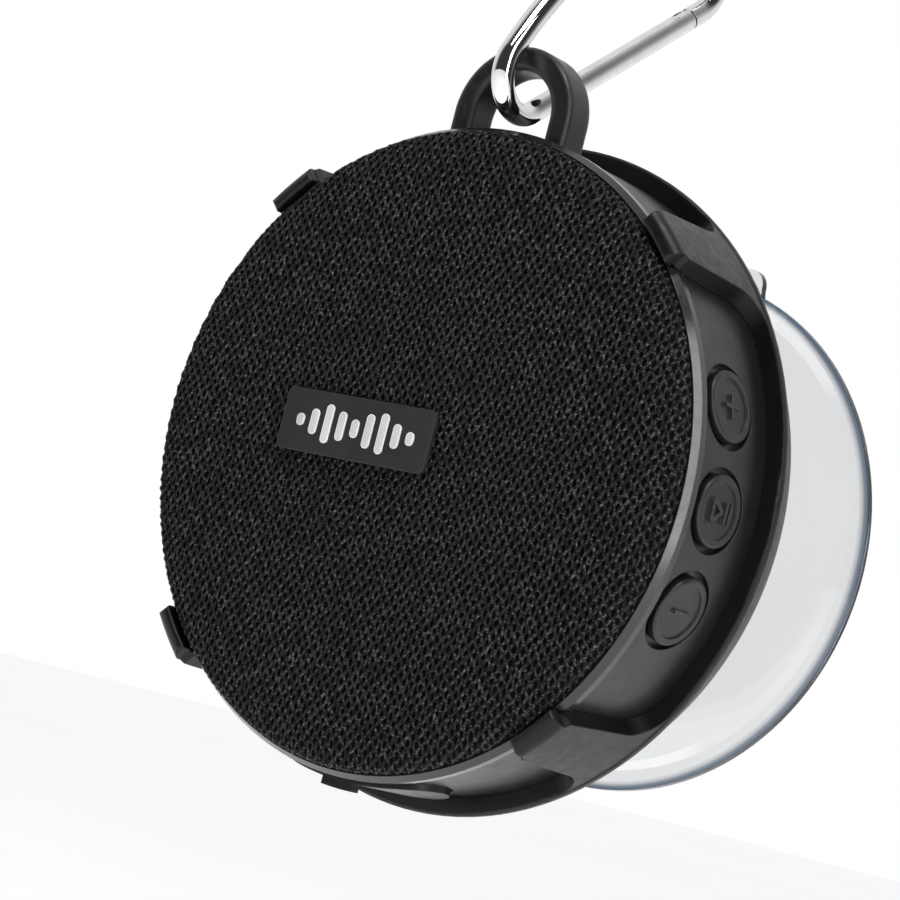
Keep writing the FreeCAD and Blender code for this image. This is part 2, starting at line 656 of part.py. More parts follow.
def button_lead():
    """Flat lead from the button board to the main board."""
    half_width, thickness = 2.5, 0.4
    line = [(43.5, 12.45), (43.5, 24.0), (35.5, BOARD_DEPTH - 0.05)]
    back = [(x - thickness, d) for x, d in reversed(line)]
    back[0] = (line[-1][0] - 0.6, line[-1][1])
    face = Part.Face(outline(line + back, lambda x, d: V(x, at(d), -half_width)))
    return face.extrude(V(0, 0, 2 * half_width))


# ---- rear cover ---------------------------------------------------------
BOSS_R = 9.0
BOSS_DEPTH = 33.0
INSERT_R = 5.4


def rear_cover():
    """Bowl with screw bosses, board posts and the stud's socket."""
    outer = turned([(0, SPLIT_DEPTH), (WALL_R, SPLIT_DEPTH), BACK_CURVE_START, BACK_CURVE,
                    (0, BODY_DEPTH)])
    (mid_r, mid_d), (end_r, end_d) = BACK_CURVE
    hollow = turned([(0, SPLIT_DEPTH - 1), (INNER_R, SPLIT_DEPTH - 1), (INNER_R, BACK_CURVE_START[1] - 0.4),
                     ((mid_r - 1.6, mid_d - 1.7), (end_r - 1.5, end_d - WALL_T)), (0, end_d - WALL_T)])
    extras = [disc(BOSS_R, BOSS_DEPTH, BODY_DEPTH)]
    for angle in SCREW_ANGLES:
        extras.append(y_post(4.4, *on_circle(SCREW_CIRCLE_R, angle), SPLIT_DEPTH, BODY_DEPTH))
    for angle in BOARD_POST_ANGLES:
        extras.append(y_post(2.6, *on_circle(BOARD_POST_R, angle), BOARD_DEPTH + BOARD_T, BODY_DEPTH))
    ribs = [around(box(BOSS_R - 1, 34, 36.0, BODY_DEPTH - 0.5, -0.7, 0.7), a) for a in (60, 120, 240, 300)]
    cover = fused([outer.cut(hollow)] + [e.common(outer) for e in extras + ribs])
    cutters = [disc(INSERT_R, 34.0, BODY_DEPTH + 1), tube(52.4, 51.4, SPLIT_DEPTH - 1, SPLIT_DEPTH + 0.8),
               disc(4.2, BOSS_DEPTH + 0.5, 35)]
    for angle in SCREW_ANGLES:
        x, z = on_circle(SCREW_CIRCLE_R, angle)
        cutters.append(y_post(1.7, x, z, SPLIT_DEPTH - 1, 30))
        cutters.append(y_post(3.2, x, z, 27.0, 60))
    for angle in BOARD_POST_ANGLES:
        x, z = on_circle(BOARD_POST_R, angle)
        cutters.append(y_post(0.95, x, z, BOARD_DEPTH, BOARD_DEPTH + 5))
    cutters.append(tube(29.5, 28.3, BODY_DEPTH - 0.5, BODY_DEPTH + 1))
    return cover.cut(cutters)


def housing_screws():
    places = [on_circle(SCREW_CIRCLE_R, a) for a in SCREW_ANGLES]
    return screw_group(places, 2.9, 2.0, 1.1, 27.0, 12.0)


def threaded_insert():
    """Brass insert that takes the suction cup's stud."""
    body = turned([(STUD_R + STUD_GAP, 34.0), (INSERT_R, 34.0), (INSERT_R, 36.4), (INSERT_R - 0.4, 36.8),
                   (INSERT_R - 0.4, 38.2), (INSERT_R, 38.6), (INSERT_R, BODY_DEPTH),
                   (STUD_R + STUD_GAP, BODY_DEPTH)])
    return body


# ---- suction cup --------------------------------------------------------
WASHER_T = 0.8
HUB_R = 17.0


def wall(y):
    """Depth of a plane given by its distance in front of the wall."""
    return BODY_DEPTH + CUP_REACH - y


def hub_washer():
    """Soft washer pinched between the back and the hub."""
    return tube(13.0, STUD_R + 0.4, BODY_DEPTH + 0.02, BODY_DEPTH + WASHER_T)


def cup_stud():
    """Steel stud with a wide foot moulded into the hub."""
    shaft = turned([(0, 34.6), (STUD_R - 0.5, 34.6), (STUD_R, 35.1), (STUD_R, wall(17.4)), (0, wall(17.4))])
    foot = disc(8.0, wall(19.6), wall(17.4))
    return fused([shaft, foot])


def cup_hub():
    """Hard cap that grips the cup's neck, with finger flutes round it."""
    body = turned([(0, BODY_DEPTH + WASHER_T), (13.4, BODY_DEPTH + WASHER_T),
                   ((14.6, BODY_DEPTH + WASHER_T + 0.4), (15.0, BODY_DEPTH + WASHER_T + 1.4)),
                   (HUB_R, wall(17.5)), (HUB_R, wall(14.5)), (0, wall(14.5))])
    flutes = []
    for n in range(12):
        x, z = on_circle(HUB_R + 1.6, 30 * n)
        flutes.append(y_post(2.4, x, z, BODY_DEPTH - 1, wall(16.2)))
    neck_room = disc(11.55, wall(17.35), wall(10))
    groove = tube(13.1, 11.5, wall(16.1), wall(14.75))
    return body.cut(flutes + [neck_room, groove, cup_stud()])


def suction_cup():
    """Clear soft cup: neck, stepped dome, flat sealing lip and pull tab."""
    lip_in = CUP_R - CUP_LIP
    cup = turned([(0, wall(17.3)), (11.5, wall(17.3)), (11.5, wall(16.0)), (13.0, wall(15.8)),
                  (13.0, wall(15.0)), (11.5, wall(14.85)), (11.5, wall(14.3)), (14.0, wall(13.4)),
                  ((21.0, wall(11.6)), (28.0, wall(9.2))), (28.6, wall(8.5)),
                  ((37.5, wall(5.3)), (44.6, wall(1.9))), (CUP_R, wall(1.3)), (CUP_R, wall(0)),
                  (lip_in, wall(0)), (lip_in - 1.4, wall(0.8)),
                  ((28.0, wall(5.2)), (14.0, wall(7.6))), (0, wall(8.3))])
    corner = 3.0
    side = TAB_HALF_WIDTH - 1.4
    shoulder, top = TAB_TOP_R - corner, TAB_TOP_R
    face = Part.Face(outline([(-TAB_HALF_WIDTH, 42), (-side, shoulder),
                              ((0.9 - side, top - 0.9), (corner - side, top)), (side - corner, top),
                              ((side - 0.9, top - 0.9), (side, shoulder)), (TAB_HALF_WIDTH, 42)],
                             lambda x, z: V(x, -1.55, z)))
    tab = around(face.extrude(V(0, 1.4, 0)), TAB_ANGLE - 90)
    tab = tab.cut(Part.makeCylinder(CUP_R - 1.5, 10, V(0, -5, 0), V(0, 1, 0)))
    return fused([cup, tab])


# ---- snap hook ----------------------------------------------------------
HOOK_PIVOT = (LOOP_FRONT_DEPTH + LOOP_WIDTH / 2, LOOP_CENTRE_Z + LOOP_OUTER_R - LOOP_BAR / 2)
HOOK_BEND = (HOOK_PIVOT[0] - 1.35, HOOK_PIVOT[1] - 2.9)     # depth, z of the small bend's centre


def hook_point(along, across, x=0.0):
    """Point in the hook's own plane: along its axis, and towards the gate."""
    lean = radians(HOOK_LEAN)
    depth = HOOK_BEND[0] + along * sin(lean) + across * cos(lean)
    z = HOOK_BEND[1] + along * cos(lean) - across * sin(lean)
    return V(x, at(depth), z)


def gate_axes():
    g = radians(GATE_ANGLE)
    return (cos(g), sin(g)), (-sin(g), cos(g))


def gate_point(t, out=0.0, x=0.0):
    """Point on the gate's centre line, from the small bend outwards."""
    (ga, gc), (na, nc) = gate_axes()
    r = HOOK_BEND_R + out
    return hook_point(na * r + ga * t, nc * r + gc * t, x)


def hook_wire_path():
    """Centre line of the bent wire, from the gate's hinge to its nose."""
    (ga, gc), (na, nc) = gate_axes()
    spine_angle = radians(SPINE_ANGLE)
    start = gate_point(GATE_PIVOT - 2.6)
    tangent = gate_point(0.0)
    leave = (-HOOK_BEND_R * sin(spine_angle), -HOOK_BEND_R * cos(spine_angle))
    bend_mid = (-HOOK_BEND_R, 0.0)
    end_a = (na * HOOK_BEND_R + ga * GATE_LENGTH, nc * HOOK_BEND_R + gc * GATE_LENGTH)
    end_centre = (end_a[0] - na * HOOK_END_R, end_a[1] - nc * HOOK_END_R)
    # spine: one large arc, tangent to both bends
    inward = (sin(spine_angle), cos(spine_angle))
    gap = (end_centre[0] - leave[0], end_centre[1] - leave[1])
    reach = gap[0] * inward[0] + gap[1] * inward[1]
    spine_r = (gap[0] ** 2 + gap[1] ** 2 - HOOK_END_R ** 2) / (2 * (reach - HOOK_END_R))
    spine_centre = (leave[0] + inward[0] * spine_r, leave[1] + inward[1] * spine_r)
    ray = (end_centre[0] - spine_centre[0], end_centre[1] - spine_centre[1])
    length = hypot(*ray)
    meet = (spine_centre[0] + ray[0] / length * spine_r, spine_centre[1] + ray[1] / length * spine_r)
    first = atan2(leave[1] - spine_centre[1], leave[0] - spine_centre[0])
    last = atan2(meet[1] - spine_centre[1], meet[0] - spine_centre[0])
    middle = (first + last) / 2
    spine_mid = (spine_centre[0] + spine_r * cos(middle), spine_centre[1] + spine_r * sin(middle))
    far = (end_centre[0] + HOOK_END_R, end_centre[1])
    return Part.Wire([
        Part.LineSegment(start, tangent).toShape(),
        Part.Arc(tangent, hook_point(*bend_mid), hook_point(*leave)).toShape(),
        Part.Arc(hook_point(*leave), hook_point(*spine_mid), hook_point(*meet)).toShape(),
        Part.Arc(hook_point(*meet), hook_point(*far), hook_point(*end_a)).toShape(),
        Part.LineSegment(hook_point(*end_a), gate_point(GATE_TIP)).toShape(),
    ])


def gate_slab(t0, t1, half_x, half_out):
    """Flat tongue or slot along the gate line."""
    corners = [gate_point(t0, -half_out, -half_x), gate_point(t1, -half_out, -half_x),
               gate_point(t1, half_out, -half_x), gate_point(t0, half_out, -half_x)]
    return Part.Face(Part.makePolygon(corners + corners[:1])).extrude(V(2 * half_x, 0, 0))


def carabiner_body():
    """Bent wire with a flattened hinge tongue and a flattened nose."""
    path = hook_wire_path()
    start, towards = gate_point(GATE_PIVOT - 2.6), gate_point(0.0)
    ring = Part.Wire(Part.makeCircle(HOOK_WIRE / 2, start, towards - start))
    wire = path.makePipeShell([ring], True, False)
    round_section = rod(HOOK_WIRE / 2, gate_point(1.0), gate_point(GATE_TIP + 1))
    tongue = gate_slab(GATE_PIVOT - 3.1, GATE_PIVOT + 1.3, 0.8, 1.3).common(round_section)
    hook_nose = gate_slab(GATE_TIP - 3.2, GATE_TIP + 0.5, 0.7, 1.5).common(round_section)
    pin_hole = rod(PIN_R + 0.05, gate_point(GATE_PIVOT, 0, -5), gate_point(GATE_PIVOT, 0, 5))
    return fused([wire, tongue, hook_nose]).cut(pin_hole)


def carabiner_gate():
    """Sprung gate: forked at the hinge and slotted for the nose."""
    bar = rod(HOOK_WIRE / 2, gate_point(GATE_PIVOT - 1.4), gate_point(GATE_TIP - 0.4))
    hinge_slot = gate_slab(GATE_PIVOT - 3, GATE_PIVOT + 3.4, 1.1, 4)
    nose_slot = gate_slab(GATE_TIP - 3.8, GATE_TIP + 2, 1.0, 4)
    spring_room = rod(1.2, gate_point(GATE_PIVOT + 3), gate_point(GATE_PIVOT + 12))
    pin = gate_pin()
    return bar.cut([hinge_slot, nose_slot, spring_room, pin])


def gate_pin():
    return rod(PIN_R, gate_point(GATE_PIVOT, 0, -1.85), gate_point(GATE_PIVOT, 0, 1.85))


def gate_spring():
    """Coil spring and push rod inside the gate, drawn as a sleeve."""
    sleeve = rod(1.05, gate_point(GATE_PIVOT + 3.3), gate_point(GATE_PIVOT + 11.9))
    return sleeve.cut(rod(0.6, gate_point(GATE_PIVOT + 3), gate_point(GATE_PIVOT + 13)))


# ---- build --------------------------------------------------------------
PARTS = {
    "front_bezel": front_bezel,
    "grille_mesh": grille_mesh,
    "grille_support": grille_support,
    "badge_plate": badge_plate,
    "badge_bars": badge_bars,
    "front_housing": front_housing,
    "housing_seal": housing_seal,
    "bumper_cage": bumper_cage,
    "hang_loop": hang_loop,
    "button_plus": lambda: button("button_plus"),
    "button_play": lambda: button("button_play"),
    "button_minus": lambda: button("button_minus"),
    "button_seals": button_seals,
    "button_board": button_board,
    "tact_switches": tact_switches,
    "port_flap": port_flap,
    "flap_anchor": flap_anchor,
    "charging_socket": charging_socket,
    "audio_socket": audio_socket,
    "port_board": port_board,
    "driver_frame": driver_frame,
    "driver_gasket": driver_gasket,
    "top_plate": top_plate,
    "magnet_ring": magnet_ring,
    "yoke": yoke,
    "voice_coil": voice_coil,
    "driver_cone": driver_cone,
    "dust_cap": dust_cap,
    "driver_surround": driver_surround,
    "driver_spider": driver_spider,
    "driver_screws": driver_screws,
    "main_board": main_board,
    "board_screws": board_screws,
    "radio_module": radio_module,
    "amplifier_chip": amplifier_chip,
    "battery_cell": battery_cell,
    "battery_pad": battery_pad,
    "microphone": microphone,
    "status_led": status_led,
    "speaker_leads": speaker_leads,
    "battery_leads": battery_leads,
    "button_lead": button_lead,
    "rear_cover": rear_cover,
    "housing_screws": housing_screws,
    "threaded_insert": threaded_insert,
    "hub_washer": hub_washer,
    "cup_stud": cup_stud,
    "cup_hub": cup_hub,
    "suction_cup": suction_cup,
    "carabiner_body": carabiner_body,
    "carabiner_gate": carabiner_gate,
    "gate_pin": gate_pin,
    "gate_spring": gate_spring,
}

os.makedirs("parts", exist_ok=True)
for name, make in PARTS.items():
    shape = make()
    shape.exportStep(f"parts/{name}.step")
    b = shape.BoundBox
    print(f"{name:16s} solids {len(shape.Solids)} valid {shape.isValid()} volume {shape.Volume:9.1f} "
          f"x {b.XMin:6.1f} {b.XMax:6.1f}  y {b.YMin:6.1f} {b.YMax:6.1f}  z {b.ZMin:6.1f} {b.ZMax:6.1f}")
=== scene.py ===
"""Looks of the round shower speaker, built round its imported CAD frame.

Metres, +Z up, the mesh front faces -Y, and the suction cup's face is the plane y = 0.
Radii are measured from the speaker's axis, and depths backwards from the front rim.
"""
import json
import math

import bpy
import numpy as np
from mathutils import Matrix, Vector


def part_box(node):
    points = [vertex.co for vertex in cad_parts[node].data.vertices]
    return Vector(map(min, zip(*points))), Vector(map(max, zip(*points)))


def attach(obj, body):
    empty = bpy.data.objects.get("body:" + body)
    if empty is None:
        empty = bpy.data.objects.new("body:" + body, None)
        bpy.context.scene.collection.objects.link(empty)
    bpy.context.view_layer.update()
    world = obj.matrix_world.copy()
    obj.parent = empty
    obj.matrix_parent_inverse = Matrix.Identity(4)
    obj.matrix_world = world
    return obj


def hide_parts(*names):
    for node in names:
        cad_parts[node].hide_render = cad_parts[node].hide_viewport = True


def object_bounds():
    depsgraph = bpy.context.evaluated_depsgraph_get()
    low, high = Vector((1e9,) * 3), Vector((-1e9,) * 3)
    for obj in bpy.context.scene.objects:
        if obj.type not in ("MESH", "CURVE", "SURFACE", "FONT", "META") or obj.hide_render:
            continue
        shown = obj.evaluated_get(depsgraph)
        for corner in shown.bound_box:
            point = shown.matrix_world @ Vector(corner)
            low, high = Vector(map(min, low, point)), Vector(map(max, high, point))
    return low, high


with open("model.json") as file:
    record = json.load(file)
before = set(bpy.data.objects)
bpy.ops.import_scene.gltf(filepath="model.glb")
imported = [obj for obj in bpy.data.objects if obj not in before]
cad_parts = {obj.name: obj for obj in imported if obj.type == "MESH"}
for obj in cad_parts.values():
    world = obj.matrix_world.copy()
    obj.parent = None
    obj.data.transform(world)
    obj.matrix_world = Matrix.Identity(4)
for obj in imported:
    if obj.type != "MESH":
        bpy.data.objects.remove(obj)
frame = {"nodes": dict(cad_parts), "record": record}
nodes = frame["nodes"]
slot_of = {s["node"]: s["material_slot"] for s in frame["record"]["subparts"]}
cad_box = [list(corner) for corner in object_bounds()]

MM = 0.001
RIM_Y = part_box("front_bezel")[0].y            # plane of the front rim
CUP_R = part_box("suction_cup")[1].x            # outside of the cup's lip


# ---- node materials -----------------------------------------------------
class Finish:
    """A material with one Principled shader and short ways to wire nodes to it."""

    def __init__(self, name):
        self.material = bpy.data.materials.new(name)
        self.material.use_nodes = True
        self.tree = self.material.node_tree
        self.shader = self.tree.nodes["Principled BSDF"]
        self.place = self.add("ShaderNodeTexCoord").outputs["Object"]

    def add(self, kind, **settings):
        node = self.tree.nodes.new(kind)
        for key, value in settings.items():
            setattr(node, key, value)
        return node

    def link(self, source, target):
        self.tree.links.new(source, target)
        return self

    def set(self, **values):
        for key, value in values.items():
            self.shader.inputs[key.replace("_", " ")].default_value = value
        return self

    def noise(self, size, detail=2.0, rough=0.5, stretch=None):
        """Noise whose grains are about this many metres across."""
        node = self.add("ShaderNodeTexNoise")
        node.inputs["Scale"].default_value = 1.0 / size
        node.inputs["Detail"].default_value = detail
        node.inputs["Roughness"].default_value = rough
        source = self.place
        if stretch:
            mapping = self.add("ShaderNodeMapping")
            mapping.inputs["Scale"].default_value = stretch
            self.link(source, mapping.inputs["Vector"])
            source = mapping.outputs["Vector"]
        self.link(source, node.inputs["Vector"])
        return node.outputs["Fac"]

    def cells(self, size):
        """Cells about this many metres across, dark in the middle."""
        node = self.add("ShaderNodeTexVoronoi")
        node.inputs["Scale"].default_value = 1.0 / size
        self.link(self.place, node.inputs["Vector"])
        return node.outputs["Distance"]

    def spread(self, value, low, high, start=0.3, end=0.7):
        """Takes a value from start to end to a number from low to high."""
        node = self.add("ShaderNodeMapRange")
        for key, number in (("From Min", start), ("From Max", end), ("To Min", low), ("To Max", high)):
            node.inputs[key].default_value = number
        self.link(value, node.inputs["Value"])
        return node.outputs["Result"]

    def tint(self, value, dark, light, start=0.35, end=0.65):
        """Takes a 0-1 pattern to a colour between dark and light."""
        ramp = self.add("ShaderNodeValToRGB")
        first, last = ramp.color_ramp.elements
        first.position, first.color = start, (*dark, 1)
        last.position, last.color = end, (*light, 1)
        self.link(value, ramp.inputs["Fac"])
        return ramp.outputs["Color"]

    def color(self, source):
        return self.link(source, self.shader.inputs["Base Color"])

    def wear_and_edge_highlight(self, source, light, radius):
        """The colour turns towards light where an outer or inner edge is close: partly edge wear, partly
        a painted highlight along the edges.
        """
        bevel = self.add("ShaderNodeBevel", samples=4)
        bevel.inputs["Radius"].default_value = radius
        flat = self.add("ShaderNodeNewGeometry").outputs["Normal"]
        turn = self.add("ShaderNodeVectorMath", operation="DOT_PRODUCT")
        self.link(bevel.outputs["Normal"], turn.inputs[0]).link(flat, turn.inputs[1])
        mix = self.add("ShaderNodeMix", data_type="RGBA")
        # paler most, as edge wear and a painted highlight, where the softened normal turns by 30 degrees,
        # not at all below 6
        self.link(self.spread(turn.outputs["Value"], 0.8, 0.0, 0.86, 0.995), mix.inputs["Factor"])
        self.link(source, mix.inputs["A"])
        mix.inputs["B"].default_value = (*light, 1)
        return mix.outputs["Result"]

    def roughness(self, source):
        return self.link(source, self.shader.inputs["Roughness"])

    def relief(self, *layers, edge=0.0):
        """Bump layers as (pattern, height in metres), over softened edges if edge is a radius."""
        normal = None
        if edge:
            bevel = self.add("ShaderNodeBevel", samples=4)
            bevel.inputs["Radius"].default_value = edge
            normal = bevel.outputs["Normal"]
        for pattern, height in layers:
            bump = self.add("ShaderNodeBump")
            bump.inputs["Distance"].default_value = height
            bump.inputs["Strength"].default_value = 1.0
            self.link(pattern, bump.inputs["Height"])
            if normal:
                self.link(normal, bump.inputs["Normal"])
            normal = bump.outputs["Normal"]
        return self.link(normal, self.shader.inputs["Normal"])


def grey(value, warm=0.0):
    """A grey, or a slightly warm one."""
    return (value * (1 + warm), value, value * (1 - warm))


def moulded(name, level, rough, grain=0.00012, height=0.000012, edge=0.00025, coat=0.0):
    """Moulded plastic with a fine eroded grain and slight unevenness."""
    f = Finish(name)
    base = f.tint(f.noise(0.018, 4), grey(level * 0.8), grey(level * 1.2))
    # edges turn paler: partly wear, partly a painted highlight along them
    f.color(f.wear_and_edge_highlight(base, grey(level * 2.5), edge * 2))
    f.roughness(f.spread(f.noise(0.0035, 5, 0.6), rough - 0.05, rough + 0.07))
    f.relief((f.noise(grain, 3), height), (f.noise(0.006, 2), height * 2), edge=edge)
    return f.set(Coat_Weight=coat, Coat_Roughness=0.12)


def rubber(name, level, rough, edge=0.0003, sheen=0.06, shine=0.5):
    """Moulded rubber: finer grain, faint uneven dust, a soft sheen."""
    f = Finish(name)
    dust = f.tint(f.noise(0.004, 6, 0.65), grey(level * 0.8), grey(level * 1.25, 0.01), 0.3, 0.75)
    # edges turn paler: partly wear, partly a painted highlight along them
    f.color(f.wear_and_edge_highlight(dust, grey(level * 2.5), edge * 2))
    f.roughness(f.spread(f.noise(0.0016, 4), rough - 0.06, rough + 0.08))
    f.relief((f.noise(0.00009, 2), 0.000008), (f.noise(0.003, 3), 0.00002), edge=edge)
    return f.set(Sheen_Weight=sheen, Sheen_Roughness=0.4, Specular_IOR_Level=shine)


def metal(name, light, dark, rough, scratch=(1, 1, 14), height=0.000004, edge=0.0001):
    """Bright metal with fine scratches, whose pattern is squeezed by scratch along each axis."""
    f = Finish(name)
    f.color(f.tint(f.noise(0.004, 4), dark, light))
    f.roughness(f.spread(f.noise(0.0012, 5, stretch=scratch), max(rough - 0.05, 0.015), rough * 1.5))
    f.relief((f.noise(0.00025, 4, stretch=scratch), height), edge=edge)
    return f.set(Metallic=1.0)


def knit(name, level):
    """Twisted polyester yarn: fuzzy, unevenly dyed, with pale specks painted into its colour as glints
    where fibres catch light.
    """
    f = Finish(name)
    # uneven dye, whose brightest specks are painted highlights standing in for glints
    f.color(f.tint(f.noise(0.0005, 4, 0.85), grey(level * 0.15), grey(level * 40), 0.52, 0.8))
    f.roughness(f.spread(f.noise(0.0004, 4), 0.24, 0.7))
    f.relief((f.noise(0.00035, 2), 0.0011), (f.noise(0.00013, 3, stretch=(1, 2, 1)), 0.0003))
    return f.set(Sheen_Weight=0.01, Sheen_Roughness=0.35, Specular_IOR_Level=0.28)


def cloth(name, dark, light, thread=0.0006, sheen=0.2, shine=0.5):
    """Close cloth, felt, foam or paper with threads or pores of a given size."""
    f = Finish(name)
    f.color(f.tint(f.noise(thread, 4), dark, light))
    f.roughness(f.spread(f.noise(0.002, 3), 0.7, 0.92))
    f.relief((f.cells(thread), 0.00005))
    return f.set(Sheen_Weight=sheen, Specular_IOR_Level=shine)


def circuit(name):
    """Green solder mask over copper tracks."""
    f = Finish(name)
    tracks = f.spread(f.cells(0.003), 0, 1, 0.42, 0.5)
    f.color(f.tint(tracks, (0.012, 0.07, 0.03), (0.02, 0.13, 0.05), 0.1, 0.9))
    f.roughness(f.spread(f.noise(0.002, 3), 0.25, 0.4))
    f.relief((tracks, 0.00002))
    return f.set(Coat_Weight=0.4, Coat_Roughness=0.15)


def vinyl(name):
    """Clear soft vinyl with a faint blue cast, gently uneven, with painted dark blue shade at the lip."""
    f = Finish(name)
    clear = f.tint(f.noise(0.02, 3), (0.95, 0.965, 0.98), (0.98, 0.985, 0.99))
    flat = f.add("ShaderNodeVectorMath", operation="MULTIPLY")
    flat.inputs[1].default_value = (1, 0, 1)
    radius = f.add("ShaderNodeVectorMath", operation="LENGTH")
    f.link(f.place, flat.inputs[0]).link(flat.outputs["Vector"], radius.inputs[0])
    # painted shade over the lip's outer millimetre, but not the pull tab beyond it
    inner = f.spread(radius.outputs["Value"], 0, 1, CUP_R - 0.0016, CUP_R - 0.0006)
    outer = f.spread(radius.outputs["Value"], 1, 0, CUP_R + 0.0001, CUP_R + 0.0005)
    lip = f.add("ShaderNodeMath", operation="MULTIPLY")
    f.link(inner, lip.inputs[0]).link(outer, lip.inputs[1])
    # painted shade: the lip turns dark blue-grey
    mix = f.add("ShaderNodeMix", data_type="RGBA")
    f.link(lip.outputs[0], mix.inputs["Factor"]).link(clear, mix.inputs["A"])
    mix.inputs["B"].default_value = (0.1, 0.14, 0.2, 1)
    f.color(mix.outputs["Result"])
    f.roughness(f.spread(f.noise(0.006, 4), 0.03, 0.1))
    f.relief((f.noise(0.012, 3), 0.00006))
    return f.set(Transmission_Weight=1.0, IOR=1.46)


FINISHES = {   # one for each material slot of the record
    "mesh": knit("black_yarn", 0.016),
    "bezel": moulded("satin_bezel", 0.009, 0.2, coat=0.35),
    "housing": moulded("body_plastic", 0.008, 0.34),
    "cover": moulded("rear_plastic", 0.01, 0.45, grain=0.00025, height=0.00002),
    "cage_rubber": rubber("bumper_rubber", 0.006, 0.37, sheen=0.005, shine=0.27),
    "loop_rubber": rubber("loop_rubber", 0.009, 0.34, edge=0.0009, sheen=0.005),
    "key_rubber": rubber("key_rubber", 0.008, 0.4, sheen=0.005),
    "badge": moulded("badge_plastic", 0.016, 0.4, grain=0.0002, edge=0.0002),
    "badge_mark": moulded("mark_white", 0.7, 0.35, edge=0.0001),
    "seal": rubber("silicone_seal", 0.06, 0.5),
    "board": circuit("solder_mask"),
    "chip": moulded("chip_package", 0.012, 0.55, edge=0.0001),
    "steel": metal("plated_steel", (0.62, 0.61, 0.59), (0.5, 0.49, 0.47), 0.25),
    "ferrite": moulded("sintered_ferrite", 0.03, 0.7, grain=0.0004, height=0.00004),
    "coil": metal("copper_winding", (0.8, 0.38, 0.16), (0.6, 0.26, 0.1), 0.3, (1, 18, 1)),
    "cone": cloth("pressed_paper", grey(0.02), grey(0.05), 0.0009),
    "cap": moulded("pressed_dome", 0.018, 0.3),
    "surround": rubber("roll_rubber", 0.015, 0.5),
    "spider": cloth("resin_cloth", (0.34, 0.2, 0.06), (0.6, 0.4, 0.16)),
    "cell_wrap": moulded("cell_wrap", 0.12, 0.2, coat=0.5),
    "foam": cloth("closed_foam", grey(0.05), grey(0.1), 0.0008),
    "lead": rubber("lead_jacket", 0.05, 0.4),
    "brass": metal("turned_brass", (0.8, 0.58, 0.25), (0.62, 0.43, 0.16), 0.22, (1, 18, 1)),
    "hub": moulded("hub_plastic", 0.02, 0.38),
    "clear_vinyl": vinyl("clear_vinyl"),
    "chrome": metal("polished_chrome", (0.86, 0.87, 0.88), (0.78, 0.79, 0.8), 0.03, (1, 1, 1), 0.0000004),
}
# near-black: painted shade for the holes of the net, and the colour of the hem
hole_shade_lining = cloth("mesh_lining", grey(0.001), grey(0.003), 0.0005, 0.0, 0.08)

for node, piece in nodes.items():
    finish = FINISHES[slot_of[node]]
    piece.data.materials.clear()
    piece.data.materials.append(finish.material)


# ---- mesh pieces --------------------------------------------------------
def make_piece(name, points, faces, finish, body):
    """Smooth mesh object with a finish, which rides on a CAD body."""
    mesh = bpy.data.meshes.new(name)
    mesh.from_pydata([tuple(p) for p in points], [], faces)
    mesh.validate()
    mesh.polygons.foreach_set("use_smooth", [True] * len(mesh.polygons))
    mesh.materials.append(finish.material)
    piece = bpy.data.objects.new(name, mesh)
    bpy.context.scene.collection.objects.link(piece)
    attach(piece, body)
    return piece


def lathe(name, profile, finish, body, steps=192):
    """Closed ring turned about the speaker's axis from (radius, depth) points."""
    turn = np.linspace(0, 2 * math.pi, steps, endpoint=False)
    rows = []
    for r, depth in profile:
        rows.append(np.stack([r * np.cos(turn), np.full(steps, RIM_Y + depth), r * np.sin(turn)], 1))
    points = np.concatenate(rows)
    faces = []
    count = len(profile)
    for i in range(count):
        a, b = i * steps, (i + 1) % count * steps
        for k in range(steps):
            n = (k + 1) % steps
            faces.append((a + k, a + n, b + n, b + k))
    return make_piece(name, points, faces, finish, body)


# ---- knitted front ------------------------------------------------------
WALE = 0.87 * MM                  # between neighbouring chains of stitches
COURSE = 1.11 * MM                # between rows of holes
SWAY = 0.25 * MM                  # how far a chain leans to each neighbour in turn
YARN_HALF_WIDTH = 0.28 * MM
KNOT = 0.3                        # share by which a chain widens where it meets its neighbour
YARN_HALF_THICK = 0.19 * MM
LIFT = 0.08 * MM                  # the runs that rise to the right lie on top
SAMPLES = 4                       # rings of points per course
WANDER = 0.006 * COURSE           # unevenness from ring to ring: sideways,
STRETCH = 0.03 * COURSE           # along the chain,
WAVER = 0.035 * MM                # in height,
FRAY = 0.14                       # and in width, as a share of it


def bow(start, middle, end, count=24):
    """Points along a smooth bow through three (radius, depth) points, without the last."""
    a, m, b = (np.array(p) for p in (start, middle, end))
    t = np.linspace(0, 1, count, endpoint=False)[:, None]
    return a * (1 - t) ** 2 + (4 * m - a - b) * t * (1 - t) + b * t ** 2


# the net's middle line from the centre, over the low crown and down the rolled edge
NET_LINE = np.concatenate([bow((0, -2.92), (24, -2.84), (45.6, -2.57)),
                           bow((45.6, -2.57), (48.37, -2.31), (51.12, -1.7)),
                           bow((51.12, -1.7), (51.84, -1.2), (52.1, -0.45)),
                           [(52.1, -0.45), (52.1, 0.3)]]) * MM
NET_STEPS = np.linalg.norm(np.diff(NET_LINE, axis=0), axis=1)
NET_ALONG = np.concatenate([[0], np.cumsum(NET_STEPS)])   # distance along the line from the centre
NET_TURN = np.gradient(NET_LINE, NET_ALONG, axis=0)


def on_net(s, lift):
    """(radius, depth) at a distance along the net's line and a height in front of it."""
    turn_r, turn_d = (np.interp(s, NET_ALONG, NET_TURN[:, i]) for i in range(2))
    radius, depth = (np.interp(s, NET_ALONG, NET_LINE[:, i]) for i in range(2))
    return radius + lift * turn_d, depth - lift * turn_r


def laid(across, up, lift):
    """Points of the flat pattern laid over the net's surface."""
    s = np.maximum(np.hypot(across, up), 1e-9)
    radius, depth = on_net(s, lift)
    return np.stack([radius * across / s, RIM_Y + depth, radius * up / s], 1)


